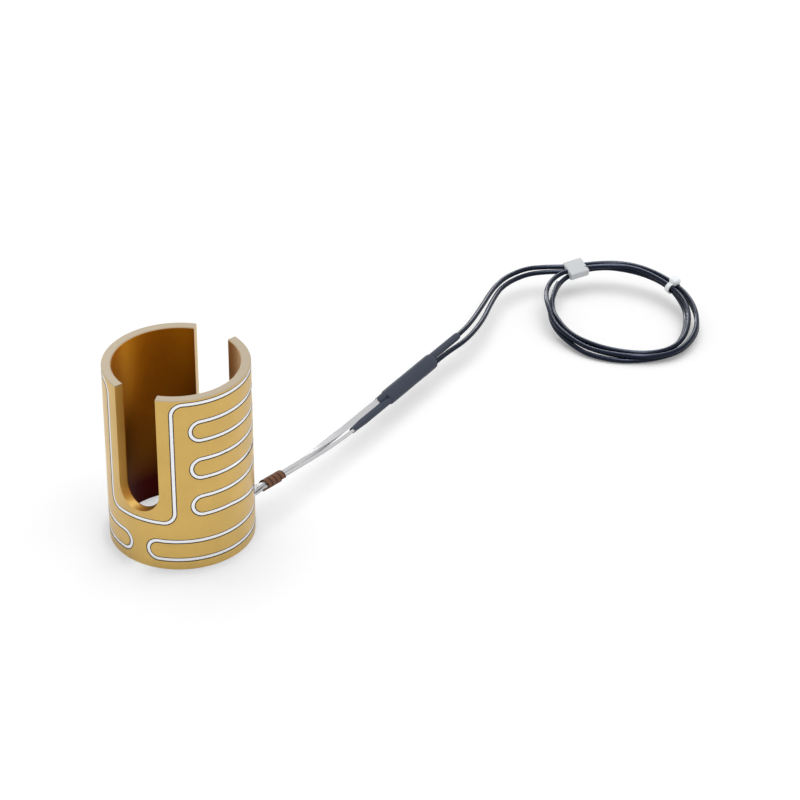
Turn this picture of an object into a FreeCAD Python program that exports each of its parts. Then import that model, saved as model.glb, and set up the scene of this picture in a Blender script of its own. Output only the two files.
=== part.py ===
import FreeCAD, Part

import math
import os

from FreeCAD import Vector

# Hot runner nozzle heater: a brass sleeve with a flat sheathed heating element pressed
# into milled grooves, two cold legs bound together, a heat-shrink splice and two leads
# wound into a small coil. Millimetres, +Z along the bore, origin at the bottom of the
# bore. Angles are in degrees about the bore axis, counter-clockwise from +X.

# Brass sleeve
SLEEVE_OUTER_RADIUS = 30.0
SLEEVE_WALL = 4.0
SLEEVE_HEIGHT = 81.0
RIM_CHAMFER = 0.4
SLOT_FRONT = -90.0
SLOT_REAR = 90.0
SLOT_HALF_ANGLE = 18.75
SLOT_FLOOR_Z = 26.3
CUTTER_REACH = 6.0

# Flat sheath of the heating element and its groove
SHEATH_WIDTH = 1.4
SHEATH_DEPTH = 2.5
SHEATH_BELOW_SURFACE = 0.1
GROOVE_SIDE_CLEARANCE = 0.2
GROOVE_OVERSHOOT = 0.5

# Course of the sheath round the sleeve
TOP_ROW_BELOW_RIM = 2.0
ROW_COUNT = 7
LOWEST_LOOP_ROW_Z = 26.2
CROSSING_ROW_Z = 22.6
EXIT_ROW_Z = 13.8
BASE_ROW_Z = 5.0
RUN_CORNER_RADIUS = 5.0
RUN_FROM_SLOT = 30.4
LOOP_FROM_FRONT_SLOT = 44.7
LEFT_LOOP_FROM_FRONT_SLOT = 60.0
LOOP_FROM_REAR_SLOT = 30.0
BASE_LOOP_FROM_FRONT_SLOT = 8.0
SLOPE_START_ANGLE = -12.0
SLOPE_DROP = 2.4
JOIN_OVERLAP_ANGLE = 1.2

# Exit of the two cold legs from the sleeve
EXIT_ANGLE = 36.2
EXIT_LEG_SPACING = 1.9
EXIT_BEND_RADIUS = 5.0
EXIT_BEND_ANGLE = 48.0
EXIT_POCKET_BEFORE = 5.0
EXIT_POCKET_AFTER = 11.0

# Splice axis, along which the legs, joints and leads lie side by side
SPLICE_START = Vector(28.2, 86.0, 11.9)
SPLICE_END = Vector(29.7, 172.3, 11.5)
SPLICE_TILT = 42.0
SPLICE_HALF_SPACING = 1.48
LEG_HANDLE = 22.0
LEG_HALF_SPACING_BOUND = 0.73
LEG_STATIONS = 13
LEG_EDGE_ROLL = 48.0
LEG_ROLL_BY = 0.12
LEG_CLOSE_BY = 0.1
LEG_BOUND_UNTIL = 0.33

# Wound strip that binds the legs beside the sleeve
WRAP_PLACE = 0.147
WRAP_TURNS = 4
WRAP_PITCH = 2.6
WRAP_STRIP_WIDTH = 2.45
WRAP_STRIP_THICKNESS = 0.3
WRAP_BORE_CLEARANCE = 0.1

# Joints inside the heat-shrink, measured along the splice axis
LOWER_JOINT_START = 0.0
UPPER_JOINT_START = 21.7
LEG_IN_JOINT = 5.0
JOINT_SKIN = 0.2
LOWER_JOINT_RADIUS = 1.5
UPPER_JOINT_RADIUS = 1.4
JOINT_FIT = 0.02
SEAL_LENGTH = 3.0
PIN_RADIUS = 0.45
LOWER_PIN_LENGTH = 26.0
UPPER_PIN_LENGTH = 24.0
CRIMP_LENGTH = 12.0
CRIMP_OVER_PIN = 5.0
CONDUCTOR_RADIUS = 0.55
CONDUCTOR_LENGTH = 6.0
OUTER_SLEEVE_SETBACK = 0.2
OUTER_SLEEVE_END = 64.0
OUTER_SLEEVE_WALL = 0.25
OUTER_SLEEVE_FIT = 0.02
UPPER_JOINT_END = 86.3

# Leads: the points that their free stretch runs through, from the splice to the coil
LEAD_DIAMETER = 2.2
LEAD_CORNER_SHARE = 0.45
UPPER_LEAD_STRAIGHT = 7.4
LOWER_LEAD_STRAIGHT = 10.0
UPPER_LEAD_ROUTE = [
    Vector(26.0, 194.8, 12.1),
    Vector(19.4, 223.0, 11.8),
    Vector(23.6, 239.5, 11.7),
    Vector(31.6, 246.6, 11.6),
    Vector(40.9, 252.4, 11.6),
]
LOWER_LEAD_ROUTE = [
    Vector(32.2, 174.0, 10.3),
    Vector(30.0, 191.5, 10.0),
    Vector(24.6, 209.5, 9.9),
    Vector(21.6, 224.0, 9.9),
    Vector(25.4, 238.2, 9.9),
    Vector(33.0, 245.4, 10.0),
    Vector(41.8, 250.8, 10.1),
]

# Coil of the leads: a tilted oval ring of four arcs. Places on it are given by the bearing
# of its outward normal.
COIL_CENTRE = Vector(75.6, 237.45, 6.6)
COIL_HALF_LONG = 36.5
COIL_HALF_SHORT = 30.2
COIL_END_RADIUS = 20.0
COIL_LONG_DIRECTION = 159.0
COIL_TILT = 6.9
COIL_RISE_DIRECTION = 121.7
COIL_HALF_WIDTH = 3.1
COIL_HALF_HEIGHT = 2.1

# Tag and cable tie round the coil
TAG_BEARING = 146.5
TAG_ROLL = 11.0
TAG_LENGTH = 8.2
TAG_WIDTH = 9.0
TAG_HEIGHT = 5.0
TAG_CORNER = 1.4
TIE_BEARING = 71.4
TIE_WIDTH = 2.4
TIE_THICKNESS = 0.7
TIE_HEAD = Vector(3.2, 3.0, 2.6)
TIE_HEAD_CORNER = Vector(0.5, 1.3, -1.3)

AXIS = Vector(0, 0, 1)
ORIGIN = Vector(0, 0, 0)

SLEEVE_BORE_RADIUS = SLEEVE_OUTER_RADIUS - SLEEVE_WALL
SHEATH_OUTER = SLEEVE_OUTER_RADIUS - SHEATH_BELOW_SURFACE
SHEATH_INNER = SHEATH_OUTER - SHEATH_DEPTH
SHEATH_MIDDLE = (SHEATH_OUTER + SHEATH_INNER) / 2.0
TOP_ROW_Z = SLEEVE_HEIGHT - TOP_ROW_BELOW_RIM
ROW_PITCH = (TOP_ROW_Z - LOWEST_LOOP_ROW_Z) / (ROW_COUNT - 1)
ROW_Z = [LOWEST_LOOP_ROW_Z + i * ROW_PITCH for i in range(ROW_COUNT)]
LEAD_RADIUS = LEAD_DIAMETER / 2.0
OUTER_SLEEVE_START = UPPER_JOINT_START + LEG_IN_JOINT + OUTER_SLEEVE_SETBACK


def polar(radius, angle, z=0.0):
    turn = math.radians(angle)
    return Vector(radius * math.cos(turn), radius * math.sin(turn), z)


def angle_of(offset):
    """Angle about the bore axis of a sideways offset at the outer surface."""
    return math.degrees(math.asin(offset / SLEEVE_OUTER_RADIUS))


def ring(inner, outer, low, high):
    wall = Part.makeCylinder(outer, high - low, Vector(0, 0, low))
    return wall.cut(Part.makeCylinder(inner, high - low, Vector(0, 0, low)))


def face_of(points):
    return Part.Face(Part.makePolygon(points + [points[0]]))


def flat_oval(half_flat, radius):
    """A flattened round across Z: two half circles joined by straight sides."""
    left = Vector(-half_flat, 0, 0)
    right = Vector(half_flat, 0, 0)
    up = Vector(0, radius, 0)
    reach = Vector(radius, 0, 0)
    return Part.Face(Part.Wire([
        Part.LineSegment(left + up, right + up).toShape(),
        Part.Arc(right + up, right + reach, right - up).toShape(),
        Part.LineSegment(right - up, left - up).toShape(),
        Part.Arc(left - up, left - reach, left + up).toShape(),
    ]))


class Track:
    """The course of the sheath as one solid of a given width between two radii."""

    def __init__(self, width, inner, outer):
        self.width = width
        self.inner = inner
        self.outer = outer
        self.shell = ring(inner, outer, 0.0, SLEEVE_HEIGHT)
        self.pieces = []

    def row(self, z, start, end):
        half = self.width / 2.0
        section = face_of([
            Vector(self.inner, 0, z - half),
            Vector(self.outer, 0, z - half),
            Vector(self.outer, 0, z + half),
            Vector(self.inner, 0, z + half),
        ])
        section.rotate(ORIGIN, AXIS, start)
        self.pieces.append(section.revolve(ORIGIN, AXIS, end - start))

    def press(self, flat, angle):
        """Push a flat outline in the YZ plane through the wall at an angle."""
        block = flat.extrude(Vector(self.outer, 0, 0))
        block.translate(Vector(self.outer * 0.5, 0, 0))
        block.rotate(ORIGIN, AXIS, angle)
        self.pieces.append(block.common(self.shell))

    def turn(self, angle, offset, z, radius, start, end):
        """Part of a round turn about a point beside the radial line at an angle."""
        def at(distance, degrees):
            bearing = math.radians(degrees)
            return Vector(0, offset + distance * math.cos(bearing), z + distance * math.sin(bearing))

        middle = (start + end) / 2.0
        near = radius - self.width / 2.0
        far = radius + self.width / 2.0
        edges = [
            Part.Arc(at(far, start), at(far, middle), at(far, end)).toShape(),
            Part.LineSegment(at(far, end), at(near, end)).toShape(),
            Part.Arc(at(near, end), at(near, middle), at(near, start)).toShape(),
            Part.LineSegment(at(near, start), at(far, start)).toShape(),
        ]
        self.press(Part.Face(Part.Wire(edges)), angle)

    def bar(self, angle, from_offset, from_z, to_offset, to_z):
        """A straight stretch between two points beside the radial line at an angle."""
        low = Vector(0, from_offset, from_z)
        high = Vector(0, to_offset, to_z)
        along = (high - low).normalize()
        side = Vector(1, 0, 0).cross(along) * (self.width / 2.0)
        self.press(face_of([low - side, high - side, high + side, low + side]), angle)

    def half_turn(self, low_z, high_z, extreme, opens):
        """A U-turn between two rows. It opens towards growing angles if opens is 1."""
        radius = (high_z - low_z) / 2.0
        angle = extreme + opens * angle_of(radius)
        middle_z = (high_z + low_z) / 2.0
        start = 90.0 if opens > 0 else -90.0
        self.turn(angle, 0.0, middle_z, radius, start, start + 180.0)
        return angle

    def upright(self, side):
        """The run beside the front slot, with its top and bottom corners."""
        angle = SLOT_FRONT + side * RUN_FROM_SLOT
        corner = RUN_CORNER_RADIUS
        low = CROSSING_ROW_Z + corner
        high = TOP_ROW_Z - corner
        self.bar(angle, 0.0, low, 0.0, high)
        if side > 0:
            self.turn(angle, corner, high, corner, 90.0, 180.0)
            self.turn(angle, -corner, low, corner, 270.0, 360.0)
        else:
            self.turn(angle, -corner, high, corner, 0.0, 90.0)
            self.turn(angle, corner, low, corner, 180.0, 270.0)

    def solid(self):
        body = self.pieces[0].multiFuse(self.pieces[1:])
        return body.removeSplitter()


def lay_course(track):
    """Lay the whole course: one sheath from the upper exit round to the lower exit."""
    lap = JOIN_OVERLAP_ANGLE
    corner = angle_of(RUN_CORNER_RADIUS)
    right_front = SLOT_FRONT + LOOP_FROM_FRONT_SLOT
    right_rear = SLOT_REAR - LOOP_FROM_REAR_SLOT
    left_rear = SLOT_REAR + LOOP_FROM_REAR_SLOT
    left_front = SLOT_FRONT - LEFT_LOOP_FROM_FRONT_SLOT + 360.0

    # Right half: loops from the exit up to the top row
    for i in range(0, ROW_COUNT - 1, 2):
        front_end = track.half_turn(ROW_Z[i], ROW_Z[i + 1], right_front, 1)
    for i in range(1, ROW_COUNT - 1, 2):
        rear_end = track.half_turn(ROW_Z[i], ROW_Z[i + 1], right_rear, -1)
    for z in ROW_Z[1:-1]:
        track.row(z, front_end, rear_end)
    right_run = SLOT_FRONT + RUN_FROM_SLOT
    track.row(TOP_ROW_Z, right_run + corner - lap, rear_end)

    # Both runs beside the front slot and the row that crosses under it
    track.upright(1)
    track.upright(-1)
    left_run = SLOT_FRONT - RUN_FROM_SLOT
    track.row(CROSSING_ROW_Z, left_run + corner - lap, right_run - corner + lap)

    # Left half: loops from the top row down
    for i in range(ROW_COUNT - 2, 0, -2):
        rear_start = track.half_turn(ROW_Z[i], ROW_Z[i + 1], left_rear, 1)
    for i in range(ROW_COUNT - 3, -1, -2):
        front_start = track.half_turn(ROW_Z[i], ROW_Z[i + 1], left_front, -1)
    for z in ROW_Z[1:-1]:
        track.row(z, rear_start, front_start)
    track.row(TOP_ROW_Z, rear_start, left_run + 360.0 - corner + lap)
    low_rear = track.half_turn(EXIT_ROW_Z, ROW_Z[0], left_rear, 1)
    track.row(ROW_Z[0], low_rear, front_start)

    # Base: back under the left half, all round the rear and to the lower exit
    left_base = SLOT_FRONT - BASE_LOOP_FROM_FRONT_SLOT + 360.0
    right_base = SLOT_FRONT + BASE_LOOP_FROM_FRONT_SLOT
    left_end = track.half_turn(BASE_ROW_Z, EXIT_ROW_Z, left_base, -1)
    right_end = track.half_turn(BASE_ROW_Z, EXIT_ROW_Z, right_base, 1)
    track.row(EXIT_ROW_Z, low_rear, left_end)
    track.row(BASE_ROW_Z, right_end, left_end)
    track.row(EXIT_ROW_Z, right_end, EXIT_ANGLE)

    # The lowest loop's row slopes down and drops beside the other leg
    upper_exit_z = EXIT_ROW_Z + EXIT_LEG_SPACING
    slope_end_z = ROW_Z[0] - SLOPE_DROP
    radius = (slope_end_z - upper_exit_z) / 2.0
    middle_z = (slope_end_z + upper_exit_z) / 2.0
    drop_angle = EXIT_ANGLE - lap - angle_of(radius)
    track.turn(drop_angle, -radius, middle_z, radius, 0.0, 90.0)
    track.turn(drop_angle, radius, middle_z, radius, 180.0, 270.0)
    track.row(upper_exit_z, EXIT_ANGLE - 2.0 * lap, EXIT_ANGLE)
    slope_end_angle = drop_angle - angle_of(radius)
    slope_angle = (SLOPE_START_ANGLE + slope_end_angle) / 2.0
    reach = SLEEVE_OUTER_RADIUS * math.sin(math.radians(slope_end_angle - slope_angle))
    track.row(ROW_Z[0], front_end, SLOPE_START_ANGLE + lap)
    track.bar(slope_angle, -reach, ROW_Z[0], reach, slope_end_z)
    return track


def slot_cutter(angle):
    """A U slot whose walls and floor are radial, as in a sleeve rolled from flat."""
    spread = math.tan(math.radians(SLOT_HALF_ANGLE))
    rise = SLEEVE_OUTER_RADIUS * math.sin(math.radians(SLOT_HALF_ANGLE))
    shoulder = SLOT_FLOOR_Z + rise
    top = SLEEVE_HEIGHT + CUTTER_REACH

    def outline(distance):
        half = distance * spread
        centre = Vector(distance, 0, shoulder)
        left = Vector(distance, half, shoulder)
        right = Vector(distance, -half, shoulder)
        if half >= rise:
            bottom = Part.Ellipse(left, Vector(distance, 0, shoulder - rise), centre)
        else:
            bottom = Part.Ellipse(Vector(distance, 0, shoulder - rise), left, centre)
        start = bottom.parameter(left)
        end = bottom.parameter(right)
        middle = bottom.value((start + end) / 2.0)
        if middle.z > shoulder:
            arc = Part.ArcOfEllipse(bottom, end, start)
        else:
            arc = Part.ArcOfEllipse(bottom, start, end)
        first = arc.toShape()
        ends = [first.Vertexes[0].Point, first.Vertexes[-1].Point]
        raised = [Vector(p.x, p.y, top) for p in ends]
        return Part.Wire([
            first,
            Part.LineSegment(ends[1], raised[1]).toShape(),
            Part.LineSegment(raised[1], raised[0]).toShape(),
            Part.LineSegment(raised[0], ends[0]).toShape(),
        ])

    inner = outline(SLEEVE_BORE_RADIUS - CUTTER_REACH)
    outer = outline(SLEEVE_OUTER_RADIUS + CUTTER_REACH)
    cutter = Part.makeLoft([inner, outer], True, True)
    cutter.rotate(ORIGIN, AXIS, angle)
    return cutter


def make_sleeve():
    c = RIM_CHAMFER
    inner = SLEEVE_BORE_RADIUS
    outer = SLEEVE_OUTER_RADIUS
    profile = face_of([
        Vector(inner, 0, c),
        Vector(inner + c, 0, 0),
        Vector(outer - c, 0, 0),
        Vector(outer, 0, c),
        Vector(outer, 0, SLEEVE_HEIGHT - c),
        Vector(outer - c, 0, SLEEVE_HEIGHT),
        Vector(inner + c, 0, SLEEVE_HEIGHT),
        Vector(inner, 0, SLEEVE_HEIGHT - c),
    ])
    sleeve = profile.revolve(ORIGIN, AXIS, 360.0)
    groove_width = SHEATH_WIDTH + 2.0 * GROOVE_SIDE_CLEARANCE
    groove = lay_course(Track(groove_width, SHEATH_INNER, SLEEVE_OUTER_RADIUS + GROOVE_OVERSHOOT))
    pocket = Track(groove_width + EXIT_LEG_SPACING, SHEATH_INNER, SLEEVE_OUTER_RADIUS + GROOVE_OVERSHOOT)
    pocket_z = EXIT_ROW_Z + EXIT_LEG_SPACING / 2.0
    pocket.row(pocket_z, EXIT_ANGLE - EXIT_POCKET_BEFORE, EXIT_ANGLE + EXIT_POCKET_AFTER)
    slotted = sleeve.cut([slot_cutter(SLOT_FRONT), slot_cutter(SLOT_REAR)])
    return slotted.cut([groove.solid(), pocket.pieces[0]])


def splice_frame():
    """Axis of the splice, and the direction across it from the upper to the lower lead."""
    along = (SPLICE_END - SPLICE_START).normalize()
    level = along.cross(AXIS).normalize()
    raised = level.cross(along)
    tilt = math.radians(SPLICE_TILT)
    return along, level * math.cos(tilt) - raised * math.sin(tilt)


def splice_point(distance, side):
    along, across = splice_frame()
    return SPLICE_START + along * distance + across * (side * SPLICE_HALF_SPACING)


def on_splice(shape, distance, side):
    """Stand a shape drawn along +Z on the splice axis, its X towards the lower lead."""
    along, across = splice_frame()
    turn = FreeCAD.Rotation(across, along.cross(across), along, "ZXY")
    shape.Placement = FreeCAD.Placement(splice_point(distance, side), turn)
    return shape


def smooth(t):
    t = min(max(t, 0.0), 1.0)
    return t * t * (3.0 - 2.0 * t)


def bend_end(z):
    """Where a leg leaves its bend, and its heading there."""
    pivot = polar(SHEATH_MIDDLE + EXIT_BEND_RADIUS, EXIT_ANGLE, z)
    heading = EXIT_ANGLE - EXIT_BEND_ANGLE
    return pivot - polar(EXIT_BEND_RADIUS, heading), polar(1.0, heading + 90.0)


def bundle_point(t):
    """Centre line of the leg pair from the bend to the splice, and its direction."""
    start, heading = bend_end(EXIT_ROW_Z + EXIT_LEG_SPACING / 2.0)
    along = splice_frame()[0]
    p1 = start + heading * LEG_HANDLE
    p2 = SPLICE_START - along * LEG_HANDLE
    s = 1.0 - t
    point = start * s**3 + p1 * (3 * s * s * t) + p2 * (3 * s * t * t) + SPLICE_START * t**3
    way = (p1 - start) * (s * s) + (p2 - p1) * (2 * s * t) + (SPLICE_START - p2) * (t * t)
    return point, way.normalize()


def leg_section(point, way, roll):
    """Rectangle across a leg: its depth lies level and is raised by the roll."""
    level = way.cross(AXIS).normalize()
    raised = level.cross(way)
    turn = math.radians(roll)
    deep = level * math.cos(turn) + raised * math.sin(turn)
    thick = raised * math.cos(turn) - level * math.sin(turn)
    a = deep * (SHEATH_DEPTH / 2.0)
    b = thick * (SHEATH_WIDTH / 2.0)
    return Part.makePolygon([point - a - b, point + a - b, point + a + b, point - a + b, point - a - b])


def leg_stations(side):
    """Centre, direction and roll of a leg at each station. Side is -1 upper, 1 lower."""
    stations = []
    for i in range(LEG_STATIONS):
        t = i / (LEG_STATIONS - 1.0)
        point, way = bundle_point(t)
        turned = LEG_EDGE_ROLL * smooth(t / LEG_ROLL_BY)
        spread = smooth((t - LEG_BOUND_UNTIL) / (1.0 - LEG_BOUND_UNTIL))
        if t < LEG_BOUND_UNTIL:
            part = smooth(t / LEG_CLOSE_BY)
            half = EXIT_LEG_SPACING / 2.0 * (1.0 - part) + LEG_HALF_SPACING_BOUND * part
        else:
            half = LEG_HALF_SPACING_BOUND * (1.0 - spread) + SPLICE_HALF_SPACING * spread
        level = way.cross(AXIS).normalize()
        raised = level.cross(way)
        turn = math.radians(turned)
        apart = level * math.sin(turn) - raised * math.cos(turn)
        roll = turned
        if side < 0:
            roll = turned - 90.0 * spread
        stations.append((point + apart * (side * half), way, roll))
    return stations


def joint_start(side):
    return UPPER_JOINT_START if side < 0 else LOWER_JOINT_START


def make_leg(side):
    """A cold leg from its groove to its end in the joint."""
    z = EXIT_ROW_Z + (EXIT_LEG_SPACING if side < 0 else 0.0)
    flat = leg_section(polar(SHEATH_MIDDLE, EXIT_ANGLE, z), polar(1.0, EXIT_ANGLE + 90.0), 0.0)
    pivot = polar(SHEATH_MIDDLE + EXIT_BEND_RADIUS, EXIT_ANGLE, z)
    bend = Part.Face(flat).revolve(pivot, AXIS, -EXIT_BEND_ANGLE)
    stations = leg_stations(side)
    sections = [leg_section(point, way, roll) for point, way, roll in stations]
    along = splice_frame()[0]
    end = splice_point(joint_start(side) + LEG_IN_JOINT, side)
    sections.append(leg_section(end, along, stations[-1][2]))
    return bend.fuse(Part.makeLoft(sections, True, True))


def make_element():
    """The one flat element: its course round the sleeve with both cold legs."""
    course = lay_course(Track(SHEATH_WIDTH, SHEATH_INNER, SHEATH_OUTER)).solid()
    return course.fuse([make_leg(-1), make_leg(1)]).removeSplitter()


def make_wrap():
    """A strip wound in a helix round both legs."""
    centre, way = bundle_point(WRAP_PLACE)
    half_deep = SHEATH_DEPTH / 2.0
    half_stack = LEG_HALF_SPACING_BOUND + SHEATH_WIDTH / 2.0
    bore = math.hypot(half_deep, half_stack) + WRAP_BORE_CLEARANCE
    length = WRAP_TURNS * WRAP_PITCH
    helix = Part.makeHelix(WRAP_PITCH, length, bore + WRAP_STRIP_THICKNESS / 2.0)
    half = WRAP_STRIP_THICKNESS / 2.0
    middle = bore + half
    strip = Part.makePolygon([
        Vector(middle - half, 0, -WRAP_STRIP_WIDTH / 2.0),
        Vector(middle + half, 0, -WRAP_STRIP_WIDTH / 2.0),
        Vector(middle + half, 0, WRAP_STRIP_WIDTH / 2.0),
        Vector(middle - half, 0, WRAP_STRIP_WIDTH / 2.0),
        Vector(middle - half, 0, -WRAP_STRIP_WIDTH / 2.0),
    ])
    wrap = Part.Wire(helix).makePipeShell([strip], True, True)
    wrap.translate(Vector(0, 0, -length / 2.0))
    wrap.Placement = FreeCAD.Placement(centre, FreeCAD.Rotation(AXIS, way)).multiply(wrap.Placement)
    return wrap


def rounded_block(width, height, corner, length):
    """A block along +Z with rounded corners, centred on the axis."""
    block = Part.makeBox(width, height, length, Vector(-width / 2.0, -height / 2.0, 0))
    edges = [e for e in block.Edges if abs(e.tangentAt(e.FirstParameter).z) > 0.9]
    return block.makeFillet(corner, edges)


def make_joint_sleeve(side):
    """Heat-shrink over one joint: flat over the leg, round over the crimp and lead."""
    start = joint_start(side)
    end = UPPER_JOINT_END if side < 0 else OUTER_SLEEVE_END
    radius = UPPER_JOINT_RADIUS if side < 0 else LOWER_JOINT_RADIUS
    roll_width = SHEATH_DEPTH if side < 0 else SHEATH_WIDTH
    roll_height = SHEATH_WIDTH if side < 0 else SHEATH_DEPTH
    skin = JOINT_SKIN
    fit = JOINT_FIT
    flat = rounded_block(roll_width + 2 * skin, roll_height + 2 * skin, 2 * skin, LEG_IN_JOINT)
    mouth = Part.makeBox(roll_width + 2 * fit, roll_height + 2 * fit, LEG_IN_JOINT,
                         Vector(-roll_width / 2 - fit, -roll_height / 2 - fit, 0))
    tube = Part.makeCylinder(radius, end - start - LEG_IN_JOINT, Vector(0, 0, LEG_IN_JOINT))
    body = flat.fuse(tube)
    bore = Part.makeCylinder(LEAD_RADIUS + fit, end - start, ORIGIN)
    bore.translate(Vector(0, 0, LEG_IN_JOINT))
    return on_splice(body.cut([mouth, bore]).removeSplitter(), start, side)


def make_outer_sleeve():
    """Heat-shrink over both joints, drawn in to an oval round the pair."""
    inner = LOWER_JOINT_RADIUS + OUTER_SLEEVE_FIT
    bore = flat_oval(SPLICE_HALF_SPACING, inner)
    skin = flat_oval(SPLICE_HALF_SPACING, inner + OUTER_SLEEVE_WALL).cut(bore)
    length = OUTER_SLEEVE_END - OUTER_SLEEVE_START
    return on_splice(skin.extrude(Vector(0, 0, length)), OUTER_SLEEVE_START, 0.0)


def make_joint_inside(side):
    """End seal, terminal pin, crimp and bare conductor inside one joint."""
    leg_end = LEG_IN_JOINT + joint_start(side)
    pin_length = UPPER_PIN_LENGTH if side < 0 else LOWER_PIN_LENGTH
    seal = Part.makeCylinder(LEAD_RADIUS, SEAL_LENGTH)
    seal = seal.cut(Part.makeCylinder(PIN_RADIUS, SEAL_LENGTH))
    pin = Part.makeCylinder(PIN_RADIUS, pin_length)
    crimp_start = leg_end + pin_length - CRIMP_OVER_PIN
    crimp = Part.makeCylinder(LEAD_RADIUS, CRIMP_LENGTH)
    pin_hole = Part.makeCylinder(PIN_RADIUS, CRIMP_OVER_PIN)
    wire_hole = Part.makeCylinder(CONDUCTOR_RADIUS, CONDUCTOR_LENGTH,
                                  Vector(0, 0, CRIMP_LENGTH - CONDUCTOR_LENGTH))
    crimp = crimp.cut([pin_hole, wire_hole])
    conductor = Part.makeCylinder(CONDUCTOR_RADIUS, CONDUCTOR_LENGTH)
    return {
        "end_seal": on_splice(seal, leg_end, side),
        "terminal_pin": on_splice(pin, leg_end, side),
        "crimp": on_splice(crimp, crimp_start, side),
        "conductor": on_splice(conductor, crimp_start + CRIMP_LENGTH - CONDUCTOR_LENGTH, side),
    }


def lead_start(side):
    """Where a lead's insulation starts, against its crimp."""
    leg_end = LEG_IN_JOINT + joint_start(side)
    pin_length = UPPER_PIN_LENGTH if side < 0 else LOWER_PIN_LENGTH
    return splice_point(leg_end + pin_length - CRIMP_OVER_PIN + CRIMP_LENGTH, side)


def lead_route(side):
    """Points of a lead: straight out of its joint, then along its chosen route."""
    if side < 0:
        straight = splice_point(UPPER_JOINT_END + UPPER_LEAD_STRAIGHT, side)
        return [lead_start(side), straight] + UPPER_LEAD_ROUTE
    straight = splice_point(OUTER_SLEEVE_END + LOWER_LEAD_STRAIGHT, side)
    return [lead_start(side), straight] + LOWER_LEAD_ROUTE


def sweep(section, steps):
    """A solid drawn by a flat section. A step is a shift, or a centre, an axis and a turn."""
    pieces = []
    for step in steps:
        if isinstance(step, Vector):
            pieces.append(section.extrude(step))
            section = section.translated(step)
        else:
            pieces.append(section.revolve(*step))
            section = section.rotated(*step)
    return pieces[0].multiFuse(pieces[1:]).removeSplitter()


def make_tube(name, points, radius):
    """A plain tube along straight runs joined by tangent arcs."""
    steps = []
    here = points[0]
    for i in range(1, len(points) - 1):
        before = points[i] - points[i - 1]
        after = points[i + 1] - points[i]
        turn = before.getAngle(after)
        cut = LEAD_CORNER_SHARE * min(before.Length, after.Length)
        bend = cut / math.tan(turn / 2.0)
        print(name, "run", round(before.Length, 1), "turn", round(math.degrees(turn), 1),
              "radius", round(bend, 1))
        before.normalize()
        after.normalize()
        centre = points[i] + (after - before).normalize() * (bend / math.cos(turn / 2.0))
        steps.append(points[i] - before * cut - here)
        steps.append((centre, before.cross(after), math.degrees(turn)))
        here = points[i] + after * cut
    steps.append(points[-1] - here)
    section = Part.Face(Part.Wire(Part.makeCircle(radius, points[0], points[1] - points[0])))
    tube = sweep(section, steps)
    print(name, "length", round(tube.Volume / (math.pi * radius * radius), 1))
    return tube


def coil_arcs():
    """The four arcs of the coil's middle line: centre, radius, first bearing and span."""
    end_reach = COIL_HALF_LONG - COIL_END_RADIUS
    spare = COIL_HALF_SHORT - COIL_END_RADIUS
    side_radius = (end_reach**2 + COIL_HALF_SHORT**2 - COIL_END_RADIUS**2) / (2.0 * spare)
    side_reach = side_radius - COIL_HALF_SHORT
    spread = math.degrees(math.atan2(side_reach, end_reach))
    arcs = []
    for bearing in (COIL_LONG_DIRECTION, COIL_LONG_DIRECTION + 180.0):
        arcs.append((polar(end_reach, bearing), COIL_END_RADIUS, bearing - spread, 2.0 * spread))
        arcs.append((polar(side_reach, bearing - 90.0), side_radius, bearing + spread, 180.0 - 2.0 * spread))
    return arcs


def coil_placement():
    rise = polar(1.0, COIL_RISE_DIRECTION)
    return FreeCAD.Placement(COIL_CENTRE, FreeCAD.Rotation(rise.cross(AXIS), COIL_TILT))


def seat_on(arc, bearing):
    """Placement on an arc of the flat ring: Z along the strands, X outwards, Y up."""
    centre, radius = arc[:2]
    turn = FreeCAD.Rotation(polar(1.0, bearing), AXIS, polar(1.0, bearing - 90.0), "ZXY")
    return FreeCAD.Placement(centre + polar(radius, bearing), turn)


def coil_seat(bearing):
    """The same placement on the tilted coil."""
    for arc in coil_arcs():
        if (bearing - arc[2]) % 360.0 <= arc[3]:
            return coil_placement().multiply(seat_on(arc, bearing))


def coil_section(thickness=0.0):
    """Section of the bundle of strands, with a skin of a given thickness round it."""
    return flat_oval(COIL_HALF_WIDTH - COIL_HALF_HEIGHT, COIL_HALF_HEIGHT + thickness)


def make_coil():
    """Closed ring of the coil's outer shape."""
    arcs = coil_arcs()
    section = coil_section()
    section.Placement = seat_on(arcs[0], arcs[0][2])
    coil = sweep(section, [(centre, AXIS, span) for centre, radius, first, span in arcs])
    coil.Placement = coil_placement()
    return coil


def make_tag(coil):
    tag = rounded_block(TAG_WIDTH, TAG_HEIGHT, TAG_CORNER, TAG_LENGTH)
    tag.translate(Vector(0, 0, -TAG_LENGTH / 2.0))
    tag.rotate(ORIGIN, AXIS, TAG_ROLL)
    tag.Placement = coil_seat(TAG_BEARING).multiply(tag.Placement)
    return tag.cut(coil)


def make_tie(coil):
    """Cable tie: a strap round the strands with its moulded head outside."""
    strap = coil_section(TIE_THICKNESS).extrude(Vector(0, 0, TIE_WIDTH))
    strap.translate(Vector(0, 0, -TIE_WIDTH / 2.0))
    head = Part.makeBox(TIE_HEAD.x, TIE_HEAD.y, TIE_HEAD.z, TIE_HEAD_CORNER)
    tie = strap.fuse(head).removeSplitter()
    tie.Placement = coil_seat(TIE_BEARING)
    return tie.cut(coil)


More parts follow.
